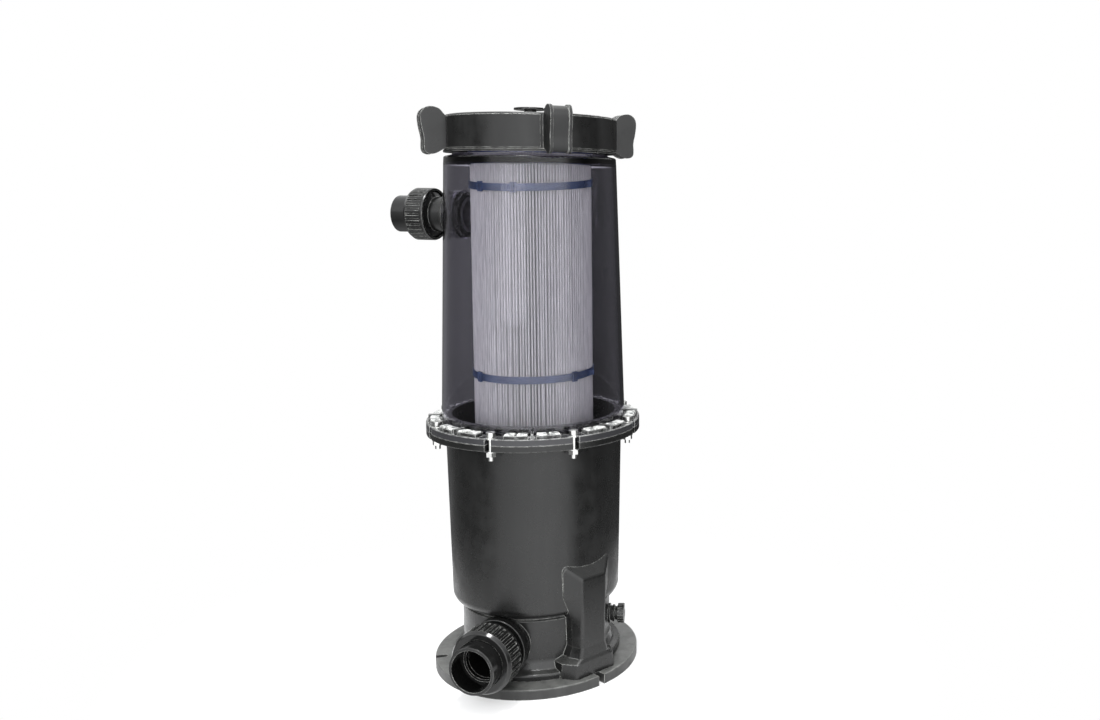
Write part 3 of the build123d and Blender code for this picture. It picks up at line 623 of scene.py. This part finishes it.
class Room:
    """The world's nodes: levels of light by direction."""

    def __init__(self):
        world = bpy.data.worlds.new("room")
        bpy.context.scene.world = world
        world.use_nodes = True
        self.tree = world.node_tree
        self.shown = self.tree.nodes["Background"]
        direction = self.add("ShaderNodeTexCoord").outputs["Generated"]
        self.way = self.add("ShaderNodeSeparateXYZ", Vector=direction).outputs

    def add(self, kind, **inputs):
        made = self.tree.nodes.new(kind)
        for key, value in inputs.items():
            self.feed(made.inputs[key.replace("_", " ")], value)
        return made

    def feed(self, socket, value):
        if isinstance(value, bpy.types.NodeSocket):
            self.tree.links.new(value, socket)
        else:
            socket.default_value = value

    def math(self, operation, first, second=0.0):
        made = self.add("ShaderNodeMath")
        made.operation = operation
        self.feed(made.inputs[0], first)
        self.feed(made.inputs[1], second)
        return made.outputs[0]

    def curve(self, factor, low, high, *stops):
        """A piecewise smooth level over low..high of a factor."""
        share = self.add("ShaderNodeMapRange", Value=factor)
        share.inputs["From Min"].default_value = low
        share.inputs["From Max"].default_value = high
        ramp = self.add("ShaderNodeValToRGB", Fac=share.outputs["Result"])
        ramp.color_ramp.interpolation = "EASE"
        elements = ramp.color_ramp.elements
        while len(elements) < len(stops):
            elements.new(0.5)
        for element, (place, level) in zip(elements, stops):
            element.position = (place - low) / (high - low)
            element.color = (level / 2, level / 2, level / 2, 1)
        return self.math("MULTIPLY", ramp.outputs["Color"], 2.0)

    def light(self, colour, level):
        return self.add("ShaderNodeBackground", Color=(*colour, 1), Strength=level).outputs["Background"]

    def choose(self, test, otherwise, chosen):
        made = self.add("ShaderNodeMixShader")
        self.feed(made.inputs[0], test)
        self.feed(made.inputs[1], otherwise)
        self.feed(made.inputs[2], chosen)
        return made.outputs["Shader"]


def make_room():
    """White to the camera; for light, a broad soft front, low sides, a dim back and a bright ceiling."""
    room = Room()
    x, y, z = (room.way[axis] for axis in "XYZ")
    azimuth = room.math("MULTIPLY", room.math("ARCTAN2", x, room.math("MULTIPLY", y, -1.0)), 180 / math.pi)
    around = room.curve(
        azimuth, -180, 180,
        (-180, 0.13), (-150, 0.24), (-112, 0.10), (-68, 0.14), (-46, 1.4), (0, 2.0), (40, 1.9),
        (56, 0.3), (74, 0.08), (110, 0.16), (150, 0.05), (178, 0.04), (180, 0.11),
    )
    upright = room.curve(z, -1, 1, (-1, 0.5), (-0.5, 0.8), (0, 1), (0.5, 1), (0.8, 0.7), (1, 0.7))
    ceiling = room.curve(
        z, -1, 1, (-1, 0.5), (-0.5, 0.1), (-0.2, 0), (0.12, 0), (0.32, 0.75), (0.7, 0.9), (1, 1.1),
    )
    left = room.curve(x, -1, 1, (-1, 1.5), (0, 1.05), (1, 0.6))
    level = room.math("ADD", room.math("MULTIPLY", around, upright), room.math("MULTIPLY", ceiling, left))
    final = room.choose(
        room.add("ShaderNodeLightPath").outputs["Is Camera Ray"],
        room.light((0.98, 0.99, 1.0), level),
        room.shown.outputs[0],
    )
    room.shown.inputs["Color"].default_value = (1, 1, 1, 1)
    room.shown.inputs["Strength"].default_value = 1.0
    room.feed(room.tree.nodes["World Output"].inputs["Surface"], final)


def add_light(name, place, target, width, height, power, glints=True, through=False):
    """A rectangular light facing a point; glints lets it be mirrored, through lets it pass clear walls."""
    data = bpy.data.lights.new(name, "AREA")
    data.shape = "RECTANGLE"
    data.size, data.size_y = width, height
    data.energy = power
    light = bpy.data.objects.new(name, data)
    light.location = place
    light.rotation_euler = (Vector(target) - Vector(place)).to_track_quat("-Z", "Y").to_euler()
    light.visible_glossy = glints
    light.visible_camera = False
    light.visible_transmission = through
    bpy.context.scene.collection.objects.link(light)


def make_lights():
    """A soft key from the front left, a fill from behind, and small strong lights for the glints."""
    add_light("key", (-0.95, -2.1, 1.1), (0, 0, 0.5), 1.3, 1.5, 24, glints=False, through=True)
    add_light("back_fill", (0.6, 2.4, 1.4), (0, 0, 0.45), 1.2, 1.2, 22, glints=False)
    add_light("glint_top", (-0.15, -0.4, 2.6), (0, 0, 0.4), 0.45, 0.45, 34)
    add_light("glint_back", (0.7, 2.2, 2.0), (0, 0, 0.4), 0.3, 0.3, 8)


def make_camera():
    """The camera at the viewing angle, with a small sideways shift for the framing."""
    heading, tilt = CAMERA_HEADING, CAMERA_TILT
    forward = Vector((math.sin(heading) * math.cos(tilt), math.cos(heading) * math.cos(tilt), math.sin(tilt)))
    right = Vector((math.cos(heading), -math.sin(heading), 0))
    up = right.cross(forward)
    turned_right = right * math.cos(CAMERA_ROLL) + up * math.sin(CAMERA_ROLL)
    turned_up = up * math.cos(CAMERA_ROLL) - right * math.sin(CAMERA_ROLL)
    data = bpy.data.cameras.new("camera")
    data.lens = CAMERA_LENS
    data.sensor_width = CAMERA_SENSOR
    data.shift_x, data.shift_y = CAMERA_SHIFT
    camera = bpy.data.objects.new("camera", data)
    rotation = Matrix((turned_right, turned_up, -forward)).transposed().to_4x4()
    camera.matrix_world = Matrix.Translation(CAMERA_PLACE) @ rotation
    bpy.context.scene.collection.objects.link(camera)
    bpy.context.scene.camera = camera


make_floor()
make_room()
make_lights()
make_camera()
bpy.context.scene.view_settings.view_transform = "Standard"
